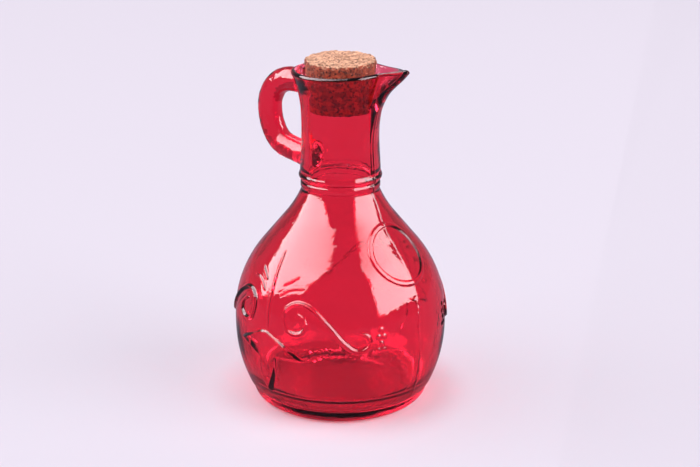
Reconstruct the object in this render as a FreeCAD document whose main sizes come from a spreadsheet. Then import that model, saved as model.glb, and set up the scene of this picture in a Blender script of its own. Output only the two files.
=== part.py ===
"""Moulded glass oil bottle with a pouring lip, a loop handle and a tapered cork.

Parametric FreeCAD model. Millimetres, +Z up. The origin is the centre of the ring that the bottle stands on,
the pouring lip points along +X and the handle along -X, so the mould's parting plane is XZ.
"""
import FreeCAD, Part
import math
import os
import Sketcher

V = FreeCAD.Vector
size = {}              # every value of the sheet by its alias, filled before anything is drawn

SIZES = {
    # foot
    "push_up": (1.6, "height of the hollow under the base"),
    "foot_inset": (7.1, "how far the foot stands in from the belly"),
    "foot_ring": (8.4, "from the foot's side to the inner edge of the ring that the bottle stands on"),
    "foot_round": (4.6, "radius of the foot's rounded edge, inside which the bottle stands"),
    "foot_height": (5.6, "height of the foot"),
    "foot_ledge": (1.3, "rise of the step from the foot to the body"),
    # body
    "belly_radius": (42.5, "largest radius of the body"),
    "belly_height": (32.5, "height of the largest radius"),
    "lower_curve": (62.0, "profile radius below the belly"),
    "belly_curve": (48.5, "profile radius above the belly"),
    "shoulder_angle": (39.7, "slope of the shoulder from the vertical, degrees"),
    "shoulder_curve": (45.0, "profile radius of the hollow shoulder"),
    "root_angle": (22.5, "slope of the hollow shoulder where it ends, degrees"),
    "wall": (3.2, "thickness of the body's wall"),
    "base_wall": (3.8, "thickness of the base at its middle"),
    "heel_curve": (13.0, "profile radius of the inside heel"),
    # rings below the neck
    "root_radius": (15.0, "radius where the shoulder ends"),
    "collar_lift": (0.4, "from the shoulder's end up to the lower ring"),
    "collar_out": (0.6, "how far the lower ring stands out"),
    "collar_width": (2.0, "height of the lower ring"),
    "groove_drop": (0.5, "depth of the groove between the rings, and its slope's height"),
    "bead_lift": (2.6, "from the lower ring up to the middle of the bead ring"),
    "bead_out": (1.3, "how far the bead ring stands out from where the shoulder ends"),
    "bead_round": (1.55, "profile radius of the bead ring"),
    # neck and mouth, level by level, radii and reaches counted from where the shoulder ends
    "neck_out": (0.8, "extra radius of the neck at the bead"),
    "neck_keel": (0.35, "how far the parting ridge stands out at the bead"),
    "neck_blend": (11.5, "rounding of the parting ridge at the bead"),
    "neck_length": (20.7, "from the bead up to the throat, where the lip starts to grow"),
    "throat_out": (0.1, "extra radius at the throat"),
    "throat_lip": (1.6, "extra reach of the lip side at the throat"),
    "throat_tip": (9.0, "rounding of the lip side at the throat"),
    "swell_rise": (7.4, "from the throat up to the lip's lower level, the swell"),
    "swell_out": (0.5, "extra radius at the swell"),
    "swell_lip": (4.1, "extra reach of the lip at the swell"),
    "swell_tip": (6.2, "rounding of the lip at the swell"),
    "flare_rise": (6.6, "from the swell up to the lip's upper level, the flare"),
    "flare_out": (1.9, "extra radius at the flare"),
    "flare_lip": (7.9, "extra reach of the lip at the flare"),
    "flare_tip": (4.6, "rounding of the lip at the flare"),
    "rim_rise": (6.4, "from the flare up to the rim round the cork"),
    "rim_out": (4.5, "extra radius at the rim"),
    "rim_lip": (14.2, "extra reach of the lip at the rim's height"),
    "rim_tip": (3.5, "rounding of the lip at the rim's height"),
    "crown_rise": (5.6, "from the rim up to the level above it, where the glass is sheared off"),
    "crown_out": (7.9, "extra radius at that level, the crown"),
    "crown_lip": (20.6, "extra reach of the lip at the crown"),
    "crown_tip": (3.5, "rounding of the lip at the crown"),
    "neck_wall": (2.6, "thickness of the glass round the bore, where the shoulder ends"),
    "rim_wall": (2.2, "thickness of the glass at the rim"),
    "funnel_wall": (3.0, "thickness of the glass below the rim"),
    "lip_start": (9.0, "where the rim starts to rise towards the lip"),
    "lip_rise": (84.0, "radius of the rise of the rim towards the lip"),
    # handle
    "handle_round": (4.9, "radius of the handle's round section"),
    "handle_drop": (7.2, "from the rim down to the upper arm"),
    "handle_lift": (3.9, "from the bead up to where the lower arm meets the neck"),
    "handle_arm": (10.0, "length of the straight upper arm outside the neck"),
    "handle_bend": (12.6, "bend radius of the upper corner"),
    "handle_back": (20.0, "bend radius of the back"),
    "handle_turn": (9.0, "bend radius of the lower corner"),
    "handle_slope": (10.0, "slope of the lower arm, degrees"),
    "handle_sink": (0.6, "how deep both arms start inside the glass"),
    # cork
    "cork_sink": (15.8, "from the rim down to the cork's lower face"),
    "cork_length": (20.8, "length of the cork"),
    "cork_entry": (0.5, "how much smaller than the bore's radius the lower face is"),
    "cork_taper": (2.1, "how much larger the radius of the upper face is"),
    "cork_edge": (0.5, "chamfer of the cork's edges"),
    "cork_gap": (0.15, "clearance between the cork and its seat"),
    "seat_drop": (8.4, "from the rim down to the end of the tapered seat"),
}

# Places and radii that follow from the sizes above.
PLACES = {
    "foot_radius": "belly_radius - foot_inset",
    "ring_inner": "foot_radius - foot_ring",
    "floor_height": "push_up + base_wall",
    "crest_radius": "belly_radius - belly_curve * ( 1 - cos( shoulder_angle * 1 deg ) )",
    "crest_height": "belly_height + belly_curve * sin( shoulder_angle * 1 deg )",
    "hollow_depth": "shoulder_curve * ( cos( root_angle * 1 deg ) - cos( shoulder_angle * 1 deg ) )",
    "hollow_rise": "shoulder_curve * ( sin( shoulder_angle * 1 deg ) - sin( root_angle * 1 deg ) )",
    "slope_rise": "( crest_radius - root_radius - hollow_depth ) / tan( shoulder_angle * 1 deg )",
    "root_height": "crest_height + slope_rise + hollow_rise",
    "collar_radius": "root_radius + collar_out",
    "collar_bottom": "root_height + collar_lift",
    "collar_top": "collar_bottom + collar_width",
    "groove_radius": "collar_radius - groove_drop",
    "groove_height": "collar_top + groove_drop",
    "bead_radius": "root_radius + bead_out",
    "bead_height": "collar_top + bead_lift",
    "neck_radius": "root_radius + neck_out",
    "throat_height": "bead_height + neck_length",
    "throat_radius": "root_radius + throat_out",
    "throat_reach": "root_radius + throat_lip",
    "swell_height": "throat_height + swell_rise",
    "swell_radius": "root_radius + swell_out",
    "swell_reach": "root_radius + swell_lip",
    "flare_height": "swell_height + flare_rise",
    "flare_radius": "root_radius + flare_out",
    "flare_reach": "root_radius + flare_lip",
    "rim_height": "flare_height + rim_rise",
    "rim_radius": "root_radius + rim_out",
    "rim_reach": "root_radius + rim_lip",
    "crown_height": "rim_height + crown_rise",
    "crown_radius": "root_radius + crown_out",
    "crown_reach": "root_radius + crown_lip",
    "bore_radius": "root_radius - neck_wall",
    "handle_top": "rim_height - handle_drop",
    "handle_foot": "bead_height + handle_lift",
    "handle_root": "root_radius - handle_sink",
    "handle_end": "root_radius + handle_arm",
    "cork_bottom": "rim_height - cork_sink",
    "cork_small": "bore_radius - cork_entry",
    "cork_large": "cork_small + cork_taper",
    "seat_top": "rim_height - seat_drop",
    "shear_reach": "crown_reach + handle_end",
}


def make_sheet(doc):
    """The driving dimensions as plain numbers, and below them what follows from them, each with an alias."""
    sheet = doc.addObject("Spreadsheet::Sheet", "Sizes")
    rows = [(alias, str(value), note) for alias, (value, note) in SIZES.items()]
    rows += [(alias, "=" + formula, "follows from the sizes above") for alias, formula in PLACES.items()]
    for row, (alias, content, note) in enumerate(rows, start=1):
        sheet.set("A%d" % row, note)
        sheet.setAlias("B%d" % row, alias)
        sheet.set("B%d" % row, content)
    doc.recompute()
    return {alias: float(sheet.get(alias)) for alias, content, note in rows}


def cells(formula):
    """A formula over the sheet's aliases, with each alias written in full."""
    words = formula.split()
    return " ".join("Sizes." + word if word in SIZES or word in PLACES else word for word in words)


# ---------------------------------------------------------------- sketching

def new_sketch(body, name, role, lift=None):
    """A sketch on one of the body's own origin planes, moved along its normal by a formula."""
    plane = next(item for item in body.Origin.OriginFeatures if item.Role == role)
    sketch = body.newObject("Sketcher::SketchObject", name)
    sketch.AttachmentSupport = (plane, [""])
    sketch.MapMode = "FlatFace"
    if lift:
        sketch.setExpression("AttachmentOffset.Base.z", cells(lift))
    return sketch


def line(sketch, start, end):
    return sketch.addGeometry(Part.LineSegment(V(*start, 0), V(*end, 0)), False)


def arc(sketch, centre, radius, start, end):
    """An arc that runs anticlockwise between two angles in degrees."""
    circle = Part.Circle(V(*centre, 0), V(0, 0, 1), radius)
    return sketch.addGeometry(Part.ArcOfCircle(circle, math.radians(start), math.radians(end)), False)


def bind(sketch, kind, refs, here, formula):
    """A dimension that starts from the drawn value and then follows the sheet."""
    index = sketch.addConstraint(Sketcher.Constraint(kind, *refs, here))
    name = "size_%d" % index
    sketch.renameConstraint(index, name)
    sketch.setExpression("Constraints." + name, cells(formula))


def at(sketch, edge, end, across=None, up=None):
    """Places one end of an edge by its distances from the sketch's origin."""
    point = sketch.getPoint(edge, end)
    if across:
        bind(sketch, "DistanceX", (-1, 1, edge, end), point.x, across)
    if up:
        bind(sketch, "DistanceY", (-1, 1, edge, end), point.y, up)


def radius(sketch, edge, formula):
    bind(sketch, "Radius", (edge,), sketch.Geometry[edge].Radius, formula)


def link(sketch, kind, *refs):
    sketch.addConstraint(Sketcher.Constraint(kind, *refs))


# ---------------------------------------------------------------- glass

def wall_section(body):
    """Half section of the body's wall: foot, belly, shoulder and rings outside, floor and bore inside."""
    sketch = new_sketch(body, "WallSection", "XZ_Plane")
    belly, middle = size["belly_radius"], size["belly_height"]
    low, high, wall = size["lower_curve"], size["belly_curve"], size["wall"]
    slope = size["shoulder_angle"]
    foot_top = size["foot_height"] + size["foot_ledge"]

    # underside, standing ring, foot
    dome = (size["ring_inner"] ** 2 - size["push_up"] ** 2) / (2 * size["push_up"])
    dome_edge = math.degrees(math.atan2(dome, size["ring_inner"]))
    under = arc(sketch, (0, -dome), math.hypot(dome, size["ring_inner"]), dome_edge, 90)
    foot_x, foot_round = size["foot_radius"], size["foot_round"]
    ring = line(sketch, (size["ring_inner"], 0), (foot_x - foot_round, 0))
    edge = arc(sketch, (foot_x - foot_round, foot_round), foot_round, -90, 0)
    side = line(sketch, (foot_x, foot_round), (foot_x, size["foot_height"]))
    drop = math.degrees(math.asin((middle - foot_top) / low))
    ledge = line(sketch, (foot_x, size["foot_height"]),
                 (belly - low + low * math.cos(math.radians(drop)), foot_top))
    # belly and shoulder
    lower = arc(sketch, (belly - low, middle), low, -drop, 0)
    upper = arc(sketch, (belly - high, middle), high, 0, slope)
    crest = sketch.getPoint(upper, 2)
    reach = size["shoulder_curve"]
    lean = math.radians(slope)
    root = (size["root_radius"], size["root_height"])
    hollow_centre = (root[0] + reach * 0.93, root[1] + reach * 0.37)
    joint = (hollow_centre[0] - reach * math.cos(lean), hollow_centre[1] - reach * math.sin(lean))
    shoulder = line(sketch, (crest.x, crest.y), joint)
    hollow = arc(sketch, hollow_centre, reach, 201, 180 + slope)
    # rings
    foot_of_collar = line(sketch, root, (size["collar_radius"], size["collar_bottom"]))
    collar = line(sketch, (size["collar_radius"], size["collar_bottom"]),
                  (size["collar_radius"], size["collar_top"]))
    chamfer = line(sketch, (size["collar_radius"], size["collar_top"]),
                   (size["groove_radius"], size["groove_height"]))
    groove = line(sketch, (size["groove_radius"], size["groove_height"]),
                  (size["groove_radius"], size["bead_height"] - size["bead_round"]))
    bead = arc(sketch, (size["bead_radius"] - size["bead_round"], size["bead_height"]),
               size["bead_round"], -75, 75)
    bead_top = sketch.getPoint(bead, 2)
    bore = size["bore_radius"]
    cap = line(sketch, (bead_top.x, bead_top.y), (bore, bead_top.y))
    # inside, from the bore down to the floor
    throat = line(sketch, (bore, bead_top.y), (bore, root[1] - 2))
    inner_hollow = arc(sketch, hollow_centre, reach + wall, 201, 180 + slope)
    inner_crest = (belly - high + (high - wall) * math.cos(lean), middle + (high - wall) * math.sin(lean))
    inner_joint = sketch.getPoint(inner_hollow, 2)
    inner_shoulder = line(sketch, (inner_joint.x, inner_joint.y), inner_crest)
    inner_upper = arc(sketch, (belly - high, middle), high - wall, 0, slope)
    inner_lower = arc(sketch, (belly - low, middle), low - wall, -20, 0)
    heel_start = sketch.getPoint(inner_lower, 1)
    heel_x = heel_start.x - size["heel_curve"]
    heel = arc(sketch, (heel_x, size["floor_height"] + size["heel_curve"]), size["heel_curve"], -90, -20)
    floor = line(sketch, (heel_x, size["floor_height"]), (0, size["floor_height"]))
    axis = line(sketch, (0, size["floor_height"]), (0, size["push_up"]))

    chain = [(side, 2, ledge, 1), (ledge, 2, lower, 1), (lower, 2, upper, 1),
             (hollow, 1, foot_of_collar, 1), (foot_of_collar, 2, collar, 1), (collar, 2, chamfer, 1),
             (chamfer, 2, groove, 1), (groove, 2, bead, 1), (bead, 2, cap, 1), (cap, 2, throat, 1),
             (throat, 2, inner_hollow, 1), (inner_upper, 1, inner_lower, 2), (floor, 2, axis, 1),
             (axis, 2, under, 2), (under, 1, ring, 1), (hollow, 3, inner_hollow, 3),
             (upper, 3, inner_upper, 3), (lower, 3, inner_lower, 3)]
    for joint_ends in chain:
        link(sketch, "Coincident", *joint_ends)
    for smooth in [(ring, 2, edge, 1), (edge, 2, side, 1), (upper, 2, shoulder, 1), (shoulder, 2, hollow, 2),
                   (inner_hollow, 2, inner_shoulder, 1), (inner_shoulder, 2, inner_upper, 2),
                   (inner_lower, 1, heel, 2), (heel, 1, floor, 1)]:
        link(sketch, "Tangent", *smooth)
    for upright in (side, collar, groove, throat):
        link(sketch, "Vertical", upright)
    for level in (floor, cap):
        link(sketch, "Horizontal", level)
    link(sketch, "Horizontal", lower, 3, lower, 2)
    link(sketch, "Horizontal", upper, 3, upper, 1)
    link(sketch, "Horizontal", inner_upper, 3, inner_upper, 1)
    for edge_end in [(under, 3), (under, 2), (floor, 2)]:
        link(sketch, "PointOnObject", *edge_end, -2)
    link(sketch, "PointOnObject", under, 1, -1)
    link(sketch, "Horizontal", ring)

    at(sketch, under, 2, up="push_up")
    at(sketch, ring, 1, across="ring_inner")
    at(sketch, side, 1, across="foot_radius", up="foot_round")
    at(sketch, side, 2, up="foot_height")
    at(sketch, ledge, 2, up="foot_height + foot_ledge")
    at(sketch, lower, 2, across="belly_radius", up="belly_height")
    radius(sketch, lower, "lower_curve")
    radius(sketch, upper, "belly_curve")
    bind(sketch, "Angle", (shoulder,), math.radians(90 + slope), "90 deg + shoulder_angle * 1 deg")
    radius(sketch, hollow, "shoulder_curve")
    at(sketch, hollow, 1, across="root_radius", up="root_height")
    at(sketch, collar, 1, across="collar_radius", up="collar_bottom")
    at(sketch, collar, 2, up="collar_top")
    at(sketch, groove, 1, across="groove_radius", up="groove_height")
    at(sketch, bead, 3, across="bead_radius - bead_round", up="bead_height")
    radius(sketch, bead, "bead_round")
    at(sketch, bead, 2, across="neck_radius - 0.5 * bead_round")
    at(sketch, throat, 1, across="bore_radius")
    radius(sketch, inner_hollow, "shoulder_curve + wall")
    radius(sketch, inner_upper, "belly_curve - wall")
    radius(sketch, heel, "heel_curve")
    at(sketch, floor, 2, up="floor_height")
    return sketch


def drop_outline(body, name, height, round_radius, reach, tip, here):
    """One level of the neck and mouth: a circle drawn out to a rounded point along +X.

    here holds the values of the round radius, the reach and the tip's radius, to draw with.
    """
    sketch = new_sketch(body, name, "XY_Plane", lift=height)
    circle_radius, lip, tip_radius = here
    turn = math.degrees(math.acos((circle_radius - tip_radius) / (lip - tip_radius)))
    back = arc(sketch, (0, 0), circle_radius, turn, 360 - turn)
    front = arc(sketch, (lip - tip_radius, 0), tip_radius, -turn, turn)
    ends = {key: sketch.getPoint(*key) for key in [(back, 1), (back, 2), (front, 1), (front, 2)]}
    right = line(sketch, (ends[back, 2].x, ends[back, 2].y), (ends[front, 1].x, ends[front, 1].y))
    left = line(sketch, (ends[front, 2].x, ends[front, 2].y), (ends[back, 1].x, ends[back, 1].y))
    link(sketch, "Coincident", back, 3, -1, 1)
    link(sketch, "PointOnObject", front, 3, -1)
    for smooth in [(back, 2, right, 1), (right, 2, front, 1), (front, 2, left, 1), (left, 2, back, 1)]:
        link(sketch, "Tangent", *smooth)
    radius(sketch, back, round_radius)
    radius(sketch, front, tip)
    at(sketch, front, 3, across="%s - ( %s )" % (reach, tip))
    return sketch


def mouth_levels(body):
    """Outlines of the outside of the neck and mouth, from inside the bead ring to above the rim."""
    sketches = [drop_outline(body, "NeckLevel", "bead_height", "neck_radius", "neck_radius + neck_keel",
                             "neck_blend", (size["neck_radius"], size["neck_radius"] + size["neck_keel"],
                                            size["neck_blend"]))]
    for part in ("throat", "swell", "flare", "rim", "crown"):
        names = [part + "_radius", part + "_reach", part + "_tip"]
        sketches.append(drop_outline(body, part.capitalize() + "Level", part + "_height", *names,
                                     [size[name] for name in names]))
    return sketches


def funnel_levels(body):
    """Outlines of the inside of the mouth. The lowest lies inside the bore, so the funnel opens out of it."""
    small = size["bore_radius"] - size["rim_wall"]
    sketches = [drop_outline(body, "FunnelStart", "seat_top - 2 * funnel_wall", "bore_radius - rim_wall",
                             "bore_radius - 0.5 * rim_wall", "throat_tip - funnel_wall",
                             (small, small + size["rim_wall"] / 2, size["throat_tip"] - size["funnel_wall"]))]
    for part, wall in (("flare", "funnel_wall"), ("rim", "rim_wall"), ("crown", "rim_wall")):
        names = [part + "_radius", part + "_reach", part + "_tip"]
        taken = ["%s - %s" % (name, wall) for name in names]
        sketches.append(drop_outline(body, part.capitalize() + "Inside", part + "_height", *taken,
                                     [size[name] - size[wall] for name in names]))
    return sketches


def handle_path(body):
    """Centre line of the handle in the parting plane: straight arm, three bends, sloping lower arm."""
    sketch = new_sketch(body, "HandlePath", "XZ_Plane")
    top, arm = size["handle_top"], size["handle_end"]
    bend, back, turn = size["handle_bend"], size["handle_back"], size["handle_turn"]
    slope = size["handle_slope"]
    out = line(sketch, (-size["handle_root"], top), (-arm, top))
    upper = arc(sketch, (-arm, top - bend), bend, 90, 180)
    outer_x = -arm - bend
    middle = arc(sketch, (outer_x + back, top - bend), back, 180, 215)
    end = sketch.getPoint(middle, 2)
    lean = math.radians(215)
    centre = (end.x - turn * math.cos(lean), end.y - turn * math.sin(lean))
    lower = arc(sketch, centre, turn, 215, 270 - slope)
    last = sketch.getPoint(lower, 2)
    back_in = line(sketch, (last.x, last.y), (-size["handle_root"], size["handle_foot"]))
    for smooth in [(out, 2, upper, 1), (upper, 2, middle, 1), (middle, 2, lower, 1), (lower, 2, back_in, 1)]:
        link(sketch, "Tangent", *smooth)
    link(sketch, "Horizontal", out)
    link(sketch, "Horizontal", upper, 3, upper, 2)
    at(sketch, out, 1, across="-1 * handle_root", up="handle_top")
    at(sketch, out, 2, across="-1 * handle_end")
    radius(sketch, upper, "handle_bend")
    radius(sketch, middle, "handle_back")
    radius(sketch, lower, "handle_turn")
    bind(sketch, "Angle", (back_in,), math.radians(-slope), "-1 * handle_slope * 1 deg")
    at(sketch, back_in, 2, across="-1 * handle_root", up="handle_foot")
    return sketch


def handle_section(body):
    sketch = new_sketch(body, "HandleSection", "YZ_Plane", lift="-1 * handle_root")
    ring = sketch.addGeometry(Part.Circle(V(0, size["handle_top"], 0), V(0, 0, 1), size["handle_round"]),
                              False)
    link(sketch, "PointOnObject", ring, 3, -2)
    at(sketch, ring, 3, up="handle_top")
    radius(sketch, ring, "handle_round")
    return sketch


def bore_section(body):
    """Half section of the bore: a straight passage and above it the tapered seat of the cork."""
    sketch = new_sketch(body, "BoreSection", "XZ_Plane")
    taper = (size["cork_large"] - size["cork_small"]) / size["cork_length"]
    bore, gap = size["bore_radius"], size["cork_gap"]
    bottom = size["bead_height"] - size["bead_round"]
    turn = size["cork_bottom"] + (bore - gap - size["cork_small"]) / taper
    top_x = size["cork_small"] + gap + (size["seat_top"] - size["cork_bottom"]) * taper
    base = line(sketch, (0, bottom), (bore, bottom))
    passage = line(sketch, (bore, bottom), (bore, turn))
    seat = line(sketch, (bore, turn), (top_x, size["seat_top"]))
    top = line(sketch, (top_x, size["seat_top"]), (0, size["seat_top"]))
    axis = line(sketch, (0, size["seat_top"]), (0, bottom))
    for ends in [(base, 2, passage, 1), (passage, 2, seat, 1), (seat, 2, top, 1), (top, 2, axis, 1),
                 (axis, 2, base, 1)]:
        link(sketch, "Coincident", *ends)
    link(sketch, "Horizontal", base)
    link(sketch, "Vertical", passage)
    link(sketch, "Horizontal", top)
    link(sketch, "PointOnObject", base, 1, -2)
    link(sketch, "PointOnObject", top, 2, -2)
    at(sketch, base, 2, across="bore_radius", up="bead_height - bead_round")
    slope = "( cork_large - cork_small ) / cork_length"
    at(sketch, passage, 2, up="cork_bottom + ( bore_radius - cork_gap - cork_small ) / ( %s )" % slope)
    at(sketch, top, 1, across="cork_small + cork_gap + ( seat_top - cork_bottom ) * %s" % slope,
       up="seat_top")
    return sketch


def rim_cutter(body):
    """Outline, seen from the side, of what is sheared off above the rim: level, then rising to the lip."""
    sketch = new_sketch(body, "RimLine", "XZ_Plane")
    level, start, rise, reach = size["rim_height"], size["lip_start"], size["lip_rise"], size["shear_reach"]
    top = size["crown_height"] + size["rim_wall"]
    end_x = size["crown_reach"] + size["rim_wall"]
    sweep = math.degrees(math.asin((end_x - start) / rise))
    flat = line(sketch, (-reach, level), (start, level))
    lift = arc(sketch, (start, level + rise), rise, -90, -90 + sweep)
    end = sketch.getPoint(lift, 2)
    right = line(sketch, (end.x, end.y), (end.x, top + rise / 4))
    roof = line(sketch, (end.x, top + rise / 4), (-reach, top + rise / 4))
    left = line(sketch, (-reach, top + rise / 4), (-reach, level))
    for ends in [(lift, 2, right, 1), (right, 2, roof, 1), (roof, 2, left, 1), (left, 2, flat, 1)]:
        link(sketch, "Coincident", *ends)
    link(sketch, "Tangent", flat, 2, lift, 1)
    link(sketch, "Horizontal", flat)
    link(sketch, "Horizontal", roof)
    link(sketch, "Vertical", right)
    link(sketch, "Vertical", left)
    at(sketch, flat, 1, across="-1 * shear_reach", up="rim_height")
    at(sketch, flat, 2, across="lip_start")
    radius(sketch, lift, "lip_rise")
    at(sketch, right, 1, across="crown_reach + rim_wall")
    at(sketch, right, 2, up="crown_height + rim_wall + lip_rise / 4")
    return sketch


def make_bottle(doc):
    body = doc.addObject("PartDesign::Body", "GlassBottle")
    body.Label = "glass_bottle"

    section = wall_section(body)
    vessel = body.newObject("PartDesign::Revolution", "Vessel")
    vessel.Profile = section
    vessel.ReferenceAxis = (section, ["V_Axis"])
    vessel.Angle = 360

    levels = mouth_levels(body)
    neck = body.newObject("PartDesign::AdditiveLoft", "NeckAndLip")
    neck.Profile = levels[0]
    neck.Sections = levels[1:]

    path, ring = handle_path(body), handle_section(body)
    handle = body.newObject("PartDesign::AdditivePipe", "Handle")
    handle.Profile = ring
    handle.Spine = (path, [])

    passage = bore_section(body)
    bore = body.newObject("PartDesign::Groove", "BoreAndSeat")
    bore.Profile = passage
    bore.ReferenceAxis = (passage, ["V_Axis"])
    bore.Angle = 360

    inside = funnel_levels(body)
    funnel = body.newObject("PartDesign::SubtractiveLoft", "Funnel")
    funnel.Profile = inside[0]
    funnel.Sections = inside[1:]

    shear = body.newObject("PartDesign::Pocket", "RimShear")
    shear.Profile = rim_cutter(body)
    shear.Midplane = True
    shear.setExpression("Length", cells("2 * shear_reach"))
    doc.recompute()
    return body


def make_cork(doc):
    body = doc.addObject("PartDesign::Body", "CorkStopper")
    body.Label = "cork_stopper"
    sketch = new_sketch(body, "CorkSection", "XZ_Plane")
    low, high = size["cork_bottom"], size["cork_bottom"] + size["cork_length"]
    small, large = size["cork_small"], size["cork_large"]
    corners = [(0, low), (small, low), (large, high), (0, high)]
    edges = [line(sketch, corners[i], corners[(i + 1) % 4]) for i in range(4)]
    for i in range(4):
        link(sketch, "Coincident", edges[i], 2, edges[(i + 1) % 4], 1)
    link(sketch, "Horizontal", edges[0])
    link(sketch, "Horizontal", edges[2])
    link(sketch, "PointOnObject", edges[0], 1, -2)
    link(sketch, "PointOnObject", edges[2], 2, -2)
    at(sketch, edges[0], 2, across="cork_small", up="cork_bottom")
    at(sketch, edges[2], 1, across="cork_large", up="cork_bottom + cork_length")
    turned = body.newObject("PartDesign::Revolution", "TaperedCork")
    turned.Profile = sketch
    turned.ReferenceAxis = (sketch, ["V_Axis"])
    turned.Angle = 360
    doc.recompute()
    rims = ["Edge%d" % (i + 1) for i, edge in enumerate(turned.Shape.Edges)
            if isinstance(edge.Curve, Part.Circle)]
    broken = body.newObject("PartDesign::Chamfer", "BrokenEdges")
    broken.Base = (turned, rims)
    broken.setExpression("Size", cells("cork_edge"))
    doc.recompute()
    return body


def main():
    doc = FreeCAD.newDocument("GlassOilBottle")
    size.update(make_sheet(doc))
    bodies = [make_bottle(doc), make_cork(doc)]
    doc.recompute()
    for item in doc.Objects:
        if "Invalid" in item.State or "Error" in item.State:
            raise RuntimeError("%s failed: %s" % (item.Name, item.State))
    for body in bodies:
        if body.Shape.isNull() or not body.Shape.isValid() or len(body.Shape.Solids) != 1:
            raise RuntimeError("%s has no single valid solid" % body.Label)
    os.makedirs("parts", exist_ok=True)
    for body in bodies:
        body.Shape.exportStep("parts/%s.step" % body.Label)
        box = body.Shape.BoundBox
        print("%s: volume %.0f mm3, x %.1f to %.1f, y %.1f to %.1f, z %.1f to %.1f" % (
            body.Label, body.Shape.Volume, box.XMin, box.XMax, box.YMin, box.YMax, box.ZMin, box.ZMax))


main()
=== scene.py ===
"""Oil bottle of pressed glass, stained red outside, with a loop handle, a pouring lip and a cork stopper.

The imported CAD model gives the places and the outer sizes. The glass and the cork are modelled here as fine
meshes in the same frame: +Z up, the lip towards +X, the handle towards -X, lengths below in millimetres.
"""
import bpy
import math
import numpy as np
from mathutils import Matrix, Vector, noise


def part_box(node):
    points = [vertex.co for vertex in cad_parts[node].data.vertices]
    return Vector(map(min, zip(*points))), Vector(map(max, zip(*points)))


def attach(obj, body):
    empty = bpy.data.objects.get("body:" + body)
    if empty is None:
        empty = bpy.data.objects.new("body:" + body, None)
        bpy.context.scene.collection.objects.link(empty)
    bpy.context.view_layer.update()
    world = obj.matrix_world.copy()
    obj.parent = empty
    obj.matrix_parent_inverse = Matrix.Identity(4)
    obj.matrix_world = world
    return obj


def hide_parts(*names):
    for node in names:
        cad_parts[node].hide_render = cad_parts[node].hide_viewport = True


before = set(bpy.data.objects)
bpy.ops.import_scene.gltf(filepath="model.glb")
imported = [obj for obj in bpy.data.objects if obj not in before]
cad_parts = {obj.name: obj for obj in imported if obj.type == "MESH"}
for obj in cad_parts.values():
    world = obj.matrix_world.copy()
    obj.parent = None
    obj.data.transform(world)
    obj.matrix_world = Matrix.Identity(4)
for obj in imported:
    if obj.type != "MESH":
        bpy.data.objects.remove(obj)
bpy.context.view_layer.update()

MM = 0.001
glass_high = np.array(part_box("glass_bottle")[1]) / MM
cork_low, cork_high = [np.array(corner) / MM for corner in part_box("cork_stopper")]

# ------------------------------------------------------------ sizes, mm

BELLY_RADIUS = glass_high[1]       # largest radius of the body
BELLY_HEIGHT = 32.5
INSET = 0.3                        # how far the plain belly lies inside that
INSET_SPREAD = 9.0                 # how far above and below its widest line
FLAT = 0.4                         # how much further in it lies under the two blossoms
FLAT_SPREAD = 24.0                 # how far to each side of a blossom, in degrees
EDGE = 0.03                        # what the ornament keeps to the overall size
PUSH_UP = 1.6                      # hollow under the base
KNURLS = 90                        # round the ring that the bottle stands on
KNURL_DEPTH = 0.12
FOOT_RADIUS = BELLY_RADIUS - 7.1
RING_INNER = FOOT_RADIUS - 8.4     # the ring that the bottle stands on
FOOT_ROUND = 4.6
FOOT_HEIGHT = 5.6
FOOT_TOP = FOOT_HEIGHT + 1.3
LOWER_CURVE = 62.0
BELLY_CURVE = 48.5
SHOULDER_ANGLE = 39.7
SHOULDER_CURVE = 45.0
ROOT_ANGLE = 22.5
ROOT_RADIUS = 15.0
WALL = 3.2
FLOOR_HEIGHT = 5.4                 # inside, in the middle
HEEL_CURVE = 13.0
COLLAR_RADIUS = ROOT_RADIUS + 0.6
GROOVE_RADIUS = ROOT_RADIUS + 0.1
BEAD_ROUND = 1.55                  # rounding of the bead, which stands BEAD_OUT over the root
BEAD_OUT = 1.3
NECK_RADIUS = ROOT_RADIUS + 0.8
BORE_RADIUS = 12.4
RIM_WALL = 2.2
FUNNEL_WALL = 3.0
LIP_START = 9.0                    # where the rim starts to rise towards the lip
LIP_RISE = 84.0                    # radius of that rise
HANDLE_ROUND = 4.9
HANDLE_FILLET = 2.4                # rounding where the handle grows out of the neck
PEBBLE = 1.9                       # width of the pebbles on the handle
PEBBLE_HEIGHT = 0.11
CORK_SMALL = 11.9
CORK_LARGE = 14.0
CORK_ROUND = 0.7
CORK_INSET = 0.12                  # what the crumbled cork lies inside the plain plug
SEAT_CLEARANCE = 0.15
GRANULE = 1.7                      # width of a cork granule
PIT = 1.1                          # width of the pits between them
GRIT = 0.5                         # width of the finest crumbs
CRUMBLE = 2.2                      # width of what has crumbled off the upper edge
DENT_DEPTH, PIT_DEPTH, GRIT_DEPTH, CRUMBLE_DEPTH = 0.30, 1.6, 0.12, 1.1
EDGE_BAND = 1.6                    # how far in and down the edge crumbles
LEAN = 0.65                        # how deep the stopper's upper face leans at its middle
LEAN_BEARING = 41.0                # towards this bearing, from -Y towards +X
LEAN_FROM = 12.0                   # height above the stopper's foot at which the lean starts

AROUND = 960                       # points round the body
NECK_STEP, INSIDE_STEP = 2, 4      # one point round the neck, and inside the body, for each of these
NECK_ROWS, RIM_ROWS, FUNNEL_ROWS, BORE_ROWS = 110, 12, 50, 12
# Distance between the rings of the body at some heights: fine where there is ornament, a collar or a bead.
ROW_HEIGHTS = (0, 6, 10, 60, 75, 82, 90)
ROW_SPACING = (0.6, 0.5, 0.28, 0.28, 0.36, 0.5, 0.22)


def slope(angle):
    """Horizontal and vertical share of a length that leans this many degrees from level."""
    return np.array([math.cos(math.radians(angle)), math.sin(math.radians(angle))])


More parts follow.
